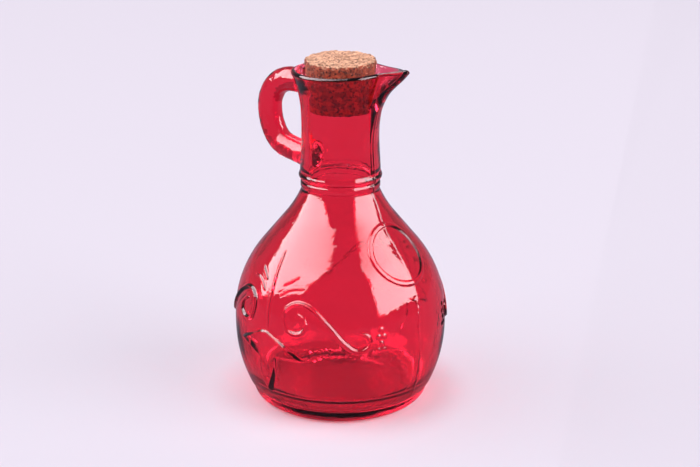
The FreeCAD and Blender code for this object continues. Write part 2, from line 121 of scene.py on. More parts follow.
CREST = np.array([BELLY_RADIUS - BELLY_CURVE, BELLY_HEIGHT]) + BELLY_CURVE * slope(SHOULDER_ANGLE)
HOLLOW_RUN = SHOULDER_CURVE * (slope(SHOULDER_ANGLE) - slope(ROOT_ANGLE))
SLOPE_RUN = CREST[0] - ROOT_RADIUS + HOLLOW_RUN[0]
ROOT_HEIGHT = CREST[1] + SLOPE_RUN / math.tan(math.radians(SHOULDER_ANGLE)) + HOLLOW_RUN[1]
HOLLOW_CENTRE = np.array([ROOT_RADIUS, ROOT_HEIGHT]) + SHOULDER_CURVE * slope(ROOT_ANGLE)
COLLAR_TOP = ROOT_HEIGHT + 2.4
BEAD_HEIGHT = COLLAR_TOP + 2.6
RIM_HEIGHT = BEAD_HEIGHT + 41.1
SEAT_TOP = RIM_HEIGHT - 8.4

# Outside of the neck and mouth: height, radius, then reach, rounding and fullness of the lip at each level.
MOUTH = np.array([(BEAD_HEIGHT, NECK_RADIUS, NECK_RADIUS + 0.35, 11.5, 0),
                  (BEAD_HEIGHT + 20.7, 15.1, 16.0, 11.5, 0.01),
                  (RIM_HEIGHT - 13.0, 15.5, 18.4, 7.6, 0.05),
                  (RIM_HEIGHT - 6.4, 16.9, 22.9, 5.4, 0.10),
                  (RIM_HEIGHT, 19.5, 29.9, 4.6, 0.15),
                  (RIM_HEIGHT + 5.6, 22.9, 35.0, 4.6, 0.15)])
FUNNEL = np.vstack([(SEAT_TOP - 2 * FUNNEL_WALL,
                     BORE_RADIUS - RIM_WALL, BORE_RADIUS - RIM_WALL / 2, 6.0, 0),
                    MOUTH[3] - (0, FUNNEL_WALL, FUNNEL_WALL, FUNNEL_WALL, 0),
                    MOUTH[4] - (0, RIM_WALL, RIM_WALL, RIM_WALL, 0),
                    MOUTH[5] - (0, RIM_WALL, RIM_WALL, RIM_WALL, 0)])
FULL_TO = 1.25                     # radians from the tip, up to which the lip is fuller than plain tangents


# ------------------------------------------------------------ drawing lines

def straight(start, end, step=0.1):
    """Points from start to just before end."""
    count = max(1, round(math.dist(start, end) / step))
    share = np.arange(count)[:, None] / count
    return np.array(start) + share * (np.array(end) - np.array(start))


def bow(centre, radius, start, end, step=0.1):
    """Points of an arc between two angles in degrees, without the last one."""
    count = max(1, round(radius * math.radians(abs(end - start)) / step))
    angles = np.radians(start + (end - start) * np.arange(count) / count)
    return np.array(centre) + radius * np.column_stack([np.cos(angles), np.sin(angles)])


def softened(line, reach, step=0.1):
    """Rounds a line's corners, as the mould and the fire do, over about this many millimetres."""
    width = max(1, round(3 * reach / step))
    weights = np.exp(-0.5 * (np.arange(-width, width + 1) * step / reach) ** 2)
    weights /= weights.sum()
    before = 2 * line[0] - line[width:0:-1]
    after = 2 * line[-1] - line[-2:-width - 2:-1]
    padded = np.vstack([before, line, after])
    return np.column_stack([np.convolve(padded[:, axis], weights, "valid") for axis in (0, 1)])


def spaced(line, spacing):
    """Points along a line whose distances follow spacing(height)."""
    runs = np.hypot(*np.diff(line, axis=0).T)
    mass = np.concatenate([[0], np.cumsum(runs / spacing((line[1:, 1] + line[:-1, 1]) / 2))])
    wanted = np.linspace(0, mass[-1], max(2, round(mass[-1])) + 1)
    return np.column_stack([np.interp(wanted, mass, line[:, axis]) for axis in (0, 1)])


def flowing(points, per_span=10):
    """A smooth curve through a few points of any dimension."""
    points = np.array(points, float)
    ends = np.vstack([2 * points[0] - points[1], points, 2 * points[-1] - points[-2]])
    share = np.linspace(0, 1, per_span, endpoint=False)[:, None]
    spans = []
    for a, b, c, d in zip(ends, ends[1:], ends[2:], ends[3:]):
        spans.append(0.5 * (2 * b + (c - a) * share + (2 * a - 5 * b + 4 * c - d) * share ** 2
                            + (3 * b - a - 3 * c + d) * share ** 3))
    return np.vstack(spans + [points[-1:]])


def between_levels(levels, height):
    """Radius, reach, rounding and fullness at any height, flowing smoothly through the levels."""
    heights = levels[:, 0]
    slopes = np.gradient(levels[:, 1:], heights, axis=0)
    index = np.clip(np.searchsorted(heights, height) - 1, 0, len(heights) - 2)
    span = heights[index + 1] - heights[index]
    t = ((height - heights[index]) / span)[..., None]
    low, high = levels[index, 1:], levels[index + 1, 1:]
    return (low * (1 + 2 * t) * (1 - t) ** 2 + high * t * t * (3 - 2 * t)
            + slopes[index] * span[..., None] * t * (1 - t) ** 2
            - slopes[index + 1] * span[..., None] * t * t * (1 - t))


def drop_radius(turn, values):
    """Distance from the axis, in direction turn from +X, of a circle drawn out to a rounded lip along +X."""
    circle, reach, tip, full = values[..., 0], values[..., 1], values[..., 2], values[..., 3]
    centre = reach - tip
    touch = np.arccos(np.clip((circle - tip) / centre, -1, 1))
    tip_end = np.arctan2(tip * np.sin(touch), centre + tip * np.cos(touch))
    turn = np.abs(turn)
    on_tip = centre * np.cos(turn) + np.sqrt(np.maximum(tip ** 2 - (centre * np.sin(turn)) ** 2, 0))
    on_line = circle / np.cos(np.clip(turn - touch, -1.5, 1.5))
    plain = np.where(turn < tip_end, on_tip, np.where(turn < touch, on_line, circle))
    return plain * (1 + full * np.sin(math.pi * np.minimum(turn / FULL_TO, 1)) ** 2)


def direction(bearing, rise):
    """Unit vector at a bearing from -Y towards +X and an angle above the horizon, in degrees."""
    turn, lift = math.radians(bearing), math.radians(rise)
    return Vector((math.sin(turn) * math.cos(lift), -math.cos(turn) * math.cos(lift), math.sin(lift)))


# ------------------------------------------------------------ lines of the bottle

def body_line():
    """Outside of the body from the middle of the underside up over the bead ring."""
    dome = (RING_INNER ** 2 - PUSH_UP ** 2) / (2 * PUSH_UP)
    edge = math.degrees(math.atan2(dome, RING_INNER))
    drop = math.degrees(math.asin((BELLY_HEIGHT - FOOT_TOP) / LOWER_CURVE))
    lower_centre = (BELLY_RADIUS - LOWER_CURVE, BELLY_HEIGHT)
    ledge = np.array(lower_centre) + LOWER_CURVE * slope(-drop)
    joint = HOLLOW_CENTRE - SHOULDER_CURVE * slope(SHOULDER_ANGLE)
    bead = ROOT_RADIUS + BEAD_OUT - BEAD_ROUND
    return np.vstack([
        bow((0, -dome), math.hypot(dome, RING_INNER), 90, edge),
        straight((RING_INNER, 0), (FOOT_RADIUS - FOOT_ROUND, 0)),
        bow((FOOT_RADIUS - FOOT_ROUND, FOOT_ROUND), FOOT_ROUND, -90, 0),
        straight((FOOT_RADIUS, FOOT_ROUND), (FOOT_RADIUS, FOOT_HEIGHT)),
        straight((FOOT_RADIUS, FOOT_HEIGHT), ledge),
        bow(lower_centre, LOWER_CURVE, -drop, 0),
        bow((BELLY_RADIUS - BELLY_CURVE, BELLY_HEIGHT), BELLY_CURVE, 0, SHOULDER_ANGLE),
        straight(CREST, joint),
        bow(HOLLOW_CENTRE, SHOULDER_CURVE, 180 + SHOULDER_ANGLE, 180 + ROOT_ANGLE),
        straight((ROOT_RADIUS, ROOT_HEIGHT), (COLLAR_RADIUS, ROOT_HEIGHT + 0.4)),
        straight((COLLAR_RADIUS, ROOT_HEIGHT + 0.4), (COLLAR_RADIUS, COLLAR_TOP)),
        straight((COLLAR_RADIUS, COLLAR_TOP), (GROOVE_RADIUS, COLLAR_TOP + 0.5)),
        straight((GROOVE_RADIUS, COLLAR_TOP + 0.5), (GROOVE_RADIUS, BEAD_HEIGHT - 1.5)),
        bow((bead, BEAD_HEIGHT), BEAD_ROUND, -77, 47),
        straight((NECK_RADIUS, BEAD_HEIGHT + 1.15), (NECK_RADIUS, BEAD_HEIGHT + 5)),
    ])


def inside_line():
    """Inside of the body from the bore down to the middle of the floor."""
    belly_centre = np.array([BELLY_RADIUS - BELLY_CURVE, BELLY_HEIGHT])
    lower_centre = np.array([BELLY_RADIUS - LOWER_CURVE, BELLY_HEIGHT])
    hollow = SHOULDER_CURVE + WALL
    lower = LOWER_CURVE - WALL
    start = math.degrees(math.acos((HOLLOW_CENTRE[0] - BORE_RADIUS) / hollow))
    joint = HOLLOW_CENTRE - hollow * slope(SHOULDER_ANGLE)
    crest = belly_centre + (BELLY_CURVE - WALL) * slope(SHOULDER_ANGLE)
    depth = BELLY_HEIGHT - FLOOR_HEIGHT - HEEL_CURVE
    heel_angle = math.degrees(math.asin(depth / (lower - HEEL_CURVE)))
    heel_centre = lower_centre + (lower - HEEL_CURVE) * slope(-heel_angle)
    bore_end = HOLLOW_CENTRE - hollow * slope(start)
    return np.vstack([
        straight((BORE_RADIUS, bore_end[1] + 8), bore_end),
        bow(HOLLOW_CENTRE, hollow, 180 + start, 180 + SHOULDER_ANGLE),
        straight(joint, crest),
        bow(belly_centre, BELLY_CURVE - WALL, SHOULDER_ANGLE, 0),
        bow(lower_centre, lower, 0, -heel_angle),
        bow(heel_centre, HEEL_CURVE, -heel_angle, -90),
        straight((heel_centre[0], FLOOR_HEIGHT), (0, FLOOR_HEIGHT)),
        [(0, FLOOR_HEIGHT)],
    ])


MOULD_ROUND = 0.28                 # how soft the mould and the fire left the corners outside
INSIDE_ROUND = 0.5
BODY = softened(body_line(), MOULD_ROUND)


def body_radius(height):
    """Radius of the plain body above its foot."""
    above = BODY[:, 1] > FOOT_HEIGHT
    return np.interp(height, BODY[above, 1], BODY[above, 0])


def on_body(bearing, height):
    """A point of the plain body. The bearing is in degrees from -Y towards +X."""
    angle = np.radians(bearing)
    radius = body_radius(height)
    return np.stack([radius * np.sin(angle), -radius * np.cos(angle), height + 0 * radius], axis=-1)


# ------------------------------------------------------------ raised ornament

# One half of the ornament: bearings in degrees from its own axis, and heights.
SCROLL = [(19, 47), (23, 45.4), (24, 42.4), (21.5, 40), (17, 39.4), (12.6, 41), (11, 44.8),
          (12.6, 48.4), (17, 50.4), (22.5, 50.5), (29, 48.4), (36.5, 43.6), (43, 38.2), (49, 34.4),
          (54.5, 34), (57.8, 36.4), (57, 39.4), (53.5, 40.6)]
STEM = [(1, 39), (0, 47), (-0.6, 55), (-3.4, 66.5)]
FORK = [(-0.5, 42.5), (-1, 48), (-2.4, 54)]
LEAVES = [[(6.5, 56), (11, 57.6), (16, 59.6)], [(6, 52.2), (10, 54.4), (15, 55.6), (20.5, 55.8)]]
ORNAMENT_AXES = (-1.5, 178.5)      # the same on both faces of the bottle
# Half the width and the height of each kind of rib.
SCROLL_RIB, STEM_RIB, FORK_RIB, LEAF_RIB = (0.9, 0.8), (0.8, 0.5), (0.6, 0.4), (0.65, 0.5)
# Rows of drops at the end of each scroll, one drop and two by turns.
DROP_ROWS, DROP_BEARING, DROP_HEIGHT, DROP_PITCH, DROP_APART = 4, 64, 41.4, 2.6, 1.5
DROP_RADIUS, DROP_RISE = 1.1, 0.45
# Outline of the flat raised blossom under the stem: millimetres sideways from the axis, and heights.
BLOSSOM = [(-15.6, 31), (-9, 34.2), (-3, 37), (0, 37.4), (8.6, 33.8), (16.4, 28.8), (4, 28.4), (3, 20),
           (-0.6, 12), (-3.2, 18), (-3.8, 26.4), (-8, 28.8)]
BLOSSOM_TURN = 0.5                 # degrees from the axis of the ornament
BLOSSOM_REACH = 60                 # no part of it is further round than this
BLOSSOM_BEVEL, BLOSSOM_RISE = 0.75, 1.5
MEDALLION = (89, 65.2)             # bearing and height of the middle of the plain ring
MEDALLION_RADIUS = 12.3
MEDALLION_BAND, MEDALLION_BEVEL, MEDALLION_RISE = 1.15, 0.5, 0.5
# Path of the mould's seam on the lip side: heights, and bearings from +X.
SEAM = np.array([(8, -2), (30, -3), (39, -4), (50, -1), (74, -1), (81, 5), (112, 6), (124, 1), (140, 0)])
SEAM_RISE, SEAM_WIDTH = 0.22, 0.28
SEAM_WANDER = 0.25                 # degrees by which the seam strays from its path
NECK_SEAM_RISE, NECK_SEAM_WIDTH = 0.2, 0.35
KEEL_RISE, KEEL_WIDTH = 0.34, 4.0


def rib(points, path, half_width):
    """Distance from a path over the surface points, in rib widths, and the rib's share of its full size."""
    reach = np.full(len(points), 9.0)
    size = np.zeros(len(points))
    low, high = path.min(0) - 4 * half_width, path.max(0) + 4 * half_width
    near = np.all((points > low) & (points < high), axis=1)
    places = points[near]
    best, share_of = reach[near], size[near]
    for number, (start, end) in enumerate(zip(path, path[1:])):
        along = end - start
        share = np.clip((places - start) @ along / (along @ along), 0, 1)
        away = np.linalg.norm(places - start - share[:, None] * along, axis=1)
        done = (number + share) / (len(path) - 1)
        swell = np.clip(np.minimum(done, 1 - done) * 9, 0, 1) ** 0.6 * 0.7 + 0.3
        closer = away / (half_width * swell) < best
        best = np.where(closer, away / (half_width * swell), best)
        share_of = np.where(closer, swell, share_of)
    reach[near], size[near] = best, share_of
    return reach, size


def plateau(across, up, outline, bevel, height):
    """Height of a flat raised shape with bevelled edges, from distances inside its outline."""
    inside = np.zeros(across.shape, bool)
    away = np.full(across.shape, 1e9)
    for (x0, z0), (x1, z1) in zip(outline, outline[1:] + outline[:1]):
        dx, dz = x1 - x0, z1 - z0
        share = np.clip(((across - x0) * dx + (up - z0) * dz) / (dx * dx + dz * dz), 0, 1)
        away = np.minimum(away, np.hypot(across - x0 - share * dx, up - z0 - share * dz))
        crosses = (z0 > up) != (z1 > up)
        inside ^= crosses & (across < x0 + (up - z0) * dx / np.where(dz == 0, 1e-9, dz))
    depth = np.clip(np.where(inside, away, -away) / bevel * 0.5 + 0.5, 0, 1)
    return height * depth * depth * (3 - 2 * depth)


def ornament(bearing, height):
    """How far the glass stands out over the plain body."""
    points = on_body(bearing, height).reshape(-1, 3)
    reach, full = np.full(len(points), 9.0), np.zeros(len(points))
    flat = np.zeros(len(points))
    for axis in ORNAMENT_AXES:
        ribs = [(STEM, 1, *STEM_RIB), (FORK, 1, *FORK_RIB)]
        ribs += [(SCROLL, side, *SCROLL_RIB) for side in (1, -1)]
        ribs += [(leaf, side, *LEAF_RIB) for side in (1, -1) for leaf in LEAVES]
        for line, side, half_width, height_of in ribs:
            path = flowing([on_body(axis + side * b, h) for b, h in line])
            away, share = rib(points, path, half_width)
            full = np.where(away < reach, share * height_of, full)
            reach = np.minimum(reach, away)
        for side in (1, -1):
            for row in range(DROP_ROWS):
                for apart in (-DROP_APART, DROP_APART) if row % 2 else (0,):
                    spot = on_body(axis + side * (DROP_BEARING + apart), DROP_HEIGHT - DROP_PITCH * row)
                    away = np.linalg.norm(points - spot, axis=1)
                    flat = np.maximum(flat, DROP_RISE * np.clip(1 - (away / DROP_RADIUS) ** 2, 0, 1))
        turn = (bearing - axis - BLOSSOM_TURN + 180) % 360 - 180
        across = np.radians(turn) * body_radius(height)
        shape = plateau(across.ravel(), height.ravel(), BLOSSOM, BLOSSOM_BEVEL, BLOSSOM_RISE)
        flat = np.maximum(flat, np.where(np.abs(turn.ravel()) < BLOSSOM_REACH, shape, 0))
    away = np.abs(np.linalg.norm(points - on_body(*MEDALLION), axis=1) - MEDALLION_RADIUS)
    band = np.clip((MEDALLION_BAND - away) / MEDALLION_BEVEL, 0, 1)
    flat = np.maximum(flat, MEDALLION_RISE * band * band * (3 - 2 * band))
    # A rib's flanks dip a little below the plain surface.
    raised = full * (1.4 * np.exp(-1.69 * reach ** 2) - 0.4 * np.exp(-0.49 * reach ** 2))
    return np.where(flat > 0, np.maximum(flat, raised), raised).reshape(height.shape)


def seam(bearing, height):
    """The ridge where the mould's halves met: fine and uneven, on a low keel that ends the reflections."""
    stray = SEAM_WANDER * np.sin(height * 1.9) * np.sin(height * 0.7)
    path = 90 + np.interp(height, SEAM[:, 0], SEAM[:, 1]) + stray
    away = np.abs((bearing - path + 180) % 360 - 180) * np.pi / 180 * body_radius(height)
    uneven = 0.75 + 0.25 * np.sin(height * 2.6) * np.sin(height * 1.3)
    return SEAM_RISE * uneven * np.exp(-(away / SEAM_WIDTH) ** 2) + KEEL_RISE * np.exp(-away / KEEL_WIDTH)


# ------------------------------------------------------------ meshes

def add_object(name, points, faces, materials, kinds=None):
    """A smooth mesh object from points in millimetres."""
    mesh = bpy.data.meshes.new(name)
    mesh.from_pydata((points * MM).tolist(), [], faces)
    for material in materials:
        mesh.materials.append(material)
    if kinds is not None:
        mesh.polygons.foreach_set("material_index", kinds)
    mesh.shade_smooth()
    mesh.update()
    thing = bpy.data.objects.new(name, mesh)
    bpy.context.scene.collection.objects.link(thing)
    return thing


def skin(rows):
    """Points and faces of rings of points, closed by a point at each end, and the ring of each face."""
    starts = np.cumsum([0] + [len(row) for row in rows])
    faces, numbers = [], []
    for number, (low, high) in enumerate(zip(rows, rows[1:])):
        a, b = starts[number], starts[number + 1]
        if len(low) == len(high):
            near = np.arange(len(low))
            after = (near + 1) % len(low)
            faces += np.column_stack([a + near, a + after, b + after, b + near]).tolist()
        elif len(low) == 1:
            near = np.arange(len(high))
            faces += [(a, b + (k + 1) % len(high), b + k) for k in near.tolist()]
        elif len(high) == 1:
            near = np.arange(len(low))
            faces += [(a + k, a + (k + 1) % len(low), b) for k in near.tolist()]
        else:
            ratio = len(low) // len(high)
            for k in range(len(high)):
                fine = [a + (k * ratio + step) % len(low) for step in range(ratio + 1)]
                faces.append((*fine, b + (k + 1) % len(high), b + k))
        numbers += [number] * (len(faces) - len(numbers))
    return np.vstack(rows), faces, np.array(numbers)


def ring_of(radius, height, turns):
    """A ring of points from distances and directions round the axis."""
    return np.column_stack([radius * np.cos(turns), radius * np.sin(turns), height + 0 * turns])


def body_rows(turns):
    """Rings of the outside of the body, with its ornament."""
    line = spaced(BODY[BODY[:, 1] < BEAD_HEIGHT + 1.5],
                  lambda height: np.interp(height, ROW_HEIGHTS, ROW_SPACING))
    along = np.gradient(line, axis=0)
    along /= np.linalg.norm(along, axis=1)[:, None]
    outward = np.column_stack([along[:, 1], -along[:, 0]])
    bearing = (np.degrees(turns) + 90) % 360
    heights = np.repeat(line[:, 1:], len(turns), axis=1)
    bearings = np.repeat(bearing[None], len(line), axis=0)
    raised = np.zeros(heights.shape)
    side = (line[:, 1] > 9) & (line[:, 0] > ROOT_RADIUS + 2)
    raised[side] = ornament(bearings[side], heights[side])
    marked = (line[:, 1] > 3) & (line[:, 0] > 14)
    fade = np.clip((line[marked, 1:] - 3) / 6, 0, 1)
    raised[marked] += seam(bearings[marked], heights[marked]) * fade
    bearing_ring = (line[:, 1] < 0.3) & (line[:, 0] > RING_INNER - 1)
    raised[bearing_ring] -= KNURL_DEPTH * (1 + np.cos(KNURLS * turns))
    # The plain belly lies a little inside the overall size, and the ornament stays within it.
    room = (BELLY_RADIUS - EDGE) / np.maximum(abs(np.cos(turns)), abs(np.sin(turns))) - line[:, :1]
    sideways = np.degrees(np.arcsin(np.abs(np.cos(turns))))
    inset = INSET + FLAT * np.exp(-(sideways / FLAT_SPREAD) ** 2)
    raised = np.minimum(raised - inset * np.exp(-((line[:, 1:] - BELLY_HEIGHT) / INSET_SPREAD) ** 2), room)
    rows = [np.array([[0, 0, PUSH_UP]])]
    for (radius, height), (out, up), lift in zip(line[1:], outward[1:], raised[1:]):
        rows.append(ring_of(radius + out * lift, height + up * lift, turns))
    return rows


def arm_distance(points):
    """Distance from the nearer one of the lines along which the handle's arms reach the neck."""
    upper = np.hypot(points[:, 1], points[:, 2] - HANDLE_TOP)
    lean = math.radians(HANDLE_SLOPE)
    lower = (points[:, 0] + HANDLE_ROOT) * math.sin(lean) + (points[:, 2] - HANDLE_FOOT) * math.cos(lean)
    return np.minimum(upper, np.hypot(points[:, 1], lower))


def neck_rows(turns):
    """Rings of the outside of the neck and mouth up to the rim, then over the rim."""
    top = np.full(len(turns), RIM_HEIGHT)
    for _ in range(12):
        across = drop_radius(turns, between_levels(MOUTH, top)) * np.cos(turns)
        rise = np.maximum(across - LIP_START, 0)
        top = RIM_HEIGHT + LIP_RISE - np.sqrt(LIP_RISE ** 2 - rise ** 2)
    half = RIM_WALL / 2
    rows = []
    start = BEAD_HEIGHT + 1.7
    bearing = (np.degrees(turns) + 90) % 360
    for share in np.linspace(0, 1, NECK_ROWS):
        height = start + share * (top - half - start)
        radius = drop_radius(turns, between_levels(MOUTH, height))
        away = np.abs((bearing - 90 - np.interp(height, SEAM[:, 0], SEAM[:, 1]) + 180) % 360 - 180)
        radius = radius + NECK_SEAM_RISE * np.exp(-(away * np.pi / 180 * radius / NECK_SEAM_WIDTH) ** 2)
        ring = ring_of(radius, height, turns)
        near = np.clip((HANDLE_ROUND + HANDLE_FILLET - arm_distance(ring)) / HANDLE_FILLET, 0, 1)
        lift = np.where(ring[:, 0] < 0, 0.85 * HANDLE_FILLET * near ** 2.2, 0)
        rows.append(ring_of(radius + lift, height, turns))
    inner = drop_radius(turns, between_levels(FUNNEL, top - half))
    for angle in np.linspace(0, math.pi, RIM_ROWS + 2)[1:-1]:
        middle = (radius + inner) / 2 + (radius - inner) / 2 * math.cos(angle)
        rows.append(ring_of(middle, top - half + half * math.sin(angle), turns))
    return rows, top - half


def inside_rows(turns, top):
    """Rings of the inside, from the rim down the funnel, the cork's seat and the bore to the floor."""
    rows = []
    taper = (CORK_LARGE - CORK_SMALL) / (cork_high[2] - cork_low[2])
    low = SEAT_TOP - 5.5
    for share in np.linspace(0, 1, FUNNEL_ROWS):
        height = top + share * (low - top)
        seat = CORK_SMALL + SEAT_CLEARANCE + (np.minimum(height, SEAT_TOP) - cork_low[2]) * taper
        seat = np.maximum(seat, BORE_RADIUS)
        funnel = drop_radius(turns, between_levels(FUNNEL, height))
        rows.append(ring_of(np.logaddexp(seat * 4, funnel * 4) / 4, height, turns))
    for height in np.linspace(low - 1, ROOT_HEIGHT + 5, BORE_ROWS):
        seat = max(BORE_RADIUS, CORK_SMALL + SEAT_CLEARANCE + (height - cork_low[2]) * taper)
        rows.append(ring_of(seat, height, turns))
    turns = turns[::INSIDE_STEP // NECK_STEP]
    line = spaced(softened(inside_line(), INSIDE_ROUND), lambda height: 1.0 + 0 * height)
    for radius, height in line[2:-1]:
        rows.append(ring_of(radius, height, turns))
    rows.append(np.array([[0, 0, FLOOR_HEIGHT]]))
    return rows


HANDLE_TOP = RIM_HEIGHT - 7.2
HANDLE_FOOT = BEAD_HEIGHT + 3.9
HANDLE_ROOT = ROOT_RADIUS - 0.6
HANDLE_ARM = ROOT_RADIUS + 10.0
HANDLE_BEND = 12.6
HANDLE_BACK = 20.0
HANDLE_TURN = 9.0
HANDLE_SLOPE = 10.0
HANDLE_SIDES = 96
HANDLE_STEP = 0.8                  # between the points of the handle's line

def handle_line():
    """Centre line of the handle in the XZ plane: straight arm, three bends, sloping lower arm."""
    upper = (-HANDLE_ARM, HANDLE_TOP - HANDLE_BEND)
    back = np.array([-HANDLE_ARM - HANDLE_BEND + HANDLE_BACK, HANDLE_TOP - HANDLE_BEND])
    lean = math.radians(HANDLE_SLOPE)
    # The lower corner's centre lies one turn radius above the sloping arm, and as much inside the back's arc.
    foot = np.array([-HANDLE_ROOT, HANDLE_FOOT])
    above = foot + HANDLE_TURN * np.array([math.sin(lean), math.cos(lean)])
    along = np.array([-math.cos(lean), math.sin(lean)])
    gap = above - back
    reach = HANDLE_BACK - HANDLE_TURN
    half = gap @ along
    run = -half + math.sqrt(half ** 2 - gap @ gap + reach ** 2)
    corner = above + run * along
    join = math.degrees(math.atan2(*(corner - back)[::-1])) % 360
    low_end = corner - HANDLE_TURN * np.array([math.sin(lean), math.cos(lean)])
    return np.vstack([
        straight((-HANDLE_ROOT, HANDLE_TOP), (-HANDLE_ARM, HANDLE_TOP), HANDLE_STEP),
        bow(upper, HANDLE_BEND, 90, 180, HANDLE_STEP),
        bow(back, HANDLE_BACK, 180, join, HANDLE_STEP),
        bow(corner, HANDLE_TURN, join, 270 - HANDLE_SLOPE, HANDLE_STEP),
        straight(low_end, foot, HANDLE_STEP),
        [foot],
    ])


def make_handle(materials):
    """The loop handle as a round bar that ends inside the neck's wall."""
    line = softened(handle_line(), 1.8, HANDLE_STEP)
    line = spaced(line, lambda height: HANDLE_STEP / 2 + 0 * height)
    along = np.gradient(line, axis=0)
    along /= np.linalg.norm(along, axis=1)[:, None]
    turns = np.linspace(0, 2 * math.pi, HANDLE_SIDES, endpoint=False)
    rows = [np.array([[line[0, 0], 0, line[0, 1]]])]
    for (x, z), (dx, dz) in zip(line, along):
        # The fire-finished bar is left a little pebbled by its mould.
        spots = [Vector((x - dz * math.cos(t) * HANDLE_ROUND, math.sin(t) * HANDLE_ROUND,
                         z + dx * math.cos(t) * HANDLE_ROUND)) / PEBBLE for t in turns]
        thick = HANDLE_ROUND - PEBBLE_HEIGHT * np.array([0.5 + noise.noise(spot) for spot in spots])
        out = thick * np.cos(turns)
        rows.append(np.column_stack([x - dz * out, -thick * np.sin(turns), z + dx * out]))
    rows.append(np.array([[line[-1, 0], 0, line[-1, 1]]]))
    points, faces, _ = skin(rows)
    return add_object("handle", points, faces, materials)


def make_glass(stained, clear):
    """The whole bottle as one closed piece: outside and handle stained, inside clear."""
    turns = np.linspace(0, 2 * math.pi, AROUND, endpoint=False)
    outside = body_rows(turns)
    neck, top = neck_rows(turns[::NECK_STEP])
    inside = inside_rows(turns[::NECK_STEP], top)
    points, faces, numbers = skin(outside + neck + inside)
    # The stain ends on top of the rim, half way over its rounding.
    stain_end = len(outside) + len(neck) - RIM_ROWS // 2 - 1
    kinds = (numbers > stain_end).astype(np.int32)
    bottle = add_object("glass_bottle_pressed", points, faces, [stained, clear], kinds)
    handle = make_handle([stained, clear])
    join = bottle.modifiers.new("join_handle", "BOOLEAN")
    join.operation = "UNION"
    join.solver = "MANIFOLD"
    join.object = handle
    shown = bpy.context.evaluated_depsgraph_get()
    joined = bpy.data.meshes.new_from_object(bottle.evaluated_get(shown))
    bottle.modifiers.clear()
    bottle.data = joined
    bpy.data.objects.remove(handle)
    return bottle


def make_cork(material):
    """The stopper, pressed from cork granules: a tapered plug with crumbled edges."""
    turns = np.linspace(0, 2 * math.pi, 300, endpoint=False)
    foot, top = cork_low[2], cork_high[2]
    low, high = foot + CORK_INSET, top - CORK_INSET
    line = np.vstack([
        straight((0, low), (CORK_SMALL - 1, low), 0.4),
        bow((CORK_SMALL - 1, low + CORK_ROUND), CORK_ROUND, -90, 0, 0.3),
        straight((CORK_SMALL - CORK_INSET, foot + 1.2), (CORK_LARGE - CORK_INSET, top - 1.2), 0.4),
        bow((CORK_LARGE - 1, high - CORK_ROUND), CORK_ROUND, 0, 90, 0.3),
        straight((CORK_LARGE - 1, high), (0, high), 0.4),
    ])
    rows = [np.array([[0, 0, low]])]
    rows += [ring_of(radius, height, turns) for radius, height in line[1:]]
    rows.append(np.array([[0, 0, high]]))
    points, faces, _ = skin(rows)
    middle = np.array([0, 0, (foot + top) / 2])
    front = direction(LEAN_BEARING, 0)
    for point in points:
        grain = noise.voronoi(Vector(point) / GRANULE)[0]
        dent = min(1.0, (grain[1] - grain[0]) * 3.2)
        pit = max(0.0, noise.noise(Vector(point) / PIT) - 0.32)
        drop = DENT_DEPTH * (1 - dent) + PIT_DEPTH * pit + GRIT_DEPTH * noise.noise(Vector(point) / GRIT)
        at_edge = math.hypot(point[0], point[1]) > CORK_LARGE - EDGE_BAND and point[2] > top - EDGE_BAND
        if at_edge:
            drop += CRUMBLE_DEPTH * max(0.0, noise.noise(Vector(point) / CRUMBLE) + 0.05)
        above = point[2] - foot - LEAN_FROM
        if above > 0:
            # The stopper was pushed in a little askew, so its upper face leans to the front.
            forward = point[0] * front[0] + point[1] * front[1]
            point[2] -= LEAN * (1 + forward / CORK_LARGE) * above / (top - foot - LEAN_FROM)
        outward = point - middle
        outward[2] *= 1.2
        point -= outward / np.linalg.norm(outward) * max(-0.1, drop) * 0.9
    return add_object("cork_stopper_granulated", points, faces, [material])


# ------------------------------------------------------------ viewpoint, light, floor and room

CAMERA_BEARING = 41.0              # degrees from -Y towards +X
CAMERA_PITCH = 18.8
CAMERA_DISTANCE = 520.0
AIM_HEIGHT = 66.4
CAMERA_LENS = 67.5                 # for a frame 36 mm wide
CAMERA_SHIFT = 0.0137
LAMP_STRENGTH = 10.0               # of the lamp that the glass mirrors
PLAIN_SHARE = 0.74                 # strength of a softbox's plain lamp beside that one
# painted shade: between these radii the floor is drawn darker round the foot
SHADE_START = 34                   # radius of the foot's full shade on the floor
SHADE_END, SHADE_THROUGH = 56, 47  # where that shade has ended, seen by itself and through the glass
# painted light: between these radii a red glow is drawn on the floor round the foot
GLOW_START, GLOW_FULL = 27, 36     # radii between which the red glow round the foot sets in
GLOW_FADE = 48
FLOOR_RADIUS = 3000.0
FLOOR_SIDES = 96
FLOOR_GAP = 0.05                   # between the floor and what stands on it
WORLD_DIM = 0.25                   # strength of the pale room as light
WORLD_THROUGH = 0.3                # share of its full brightness that is seen through the glass


# ------------------------------------------------------------ materials

def colour(code):
    """Linear colour of an sRGB hex code."""
    values = [int(code[place:place + 2], 16) / 255 for place in (1, 3, 5)]
    return [v / 12.92 if v <= 0.04045 else ((v + 0.055) / 1.055) ** 2.4 for v in values] + [1.0]


def add(tree, kind, inputs=None, **settings):
    """A node with its settings. An input is a value, or another node's output to link."""
    node = tree.nodes.new(kind)
    for name, value in settings.items():
        setattr(node, name, value)
    for name, value in (inputs or {}).items():
        if isinstance(value, bpy.types.NodeSocket):
            tree.links.new(value, node.inputs[name])
        else:
            node.inputs[name].default_value = value
    return node


def start_material(name):
    """A new material and its empty node tree."""
    material = bpy.data.materials.new(name)
    material.use_nodes = True
    tree = material.node_tree
    tree.nodes.clear()
    return material, tree


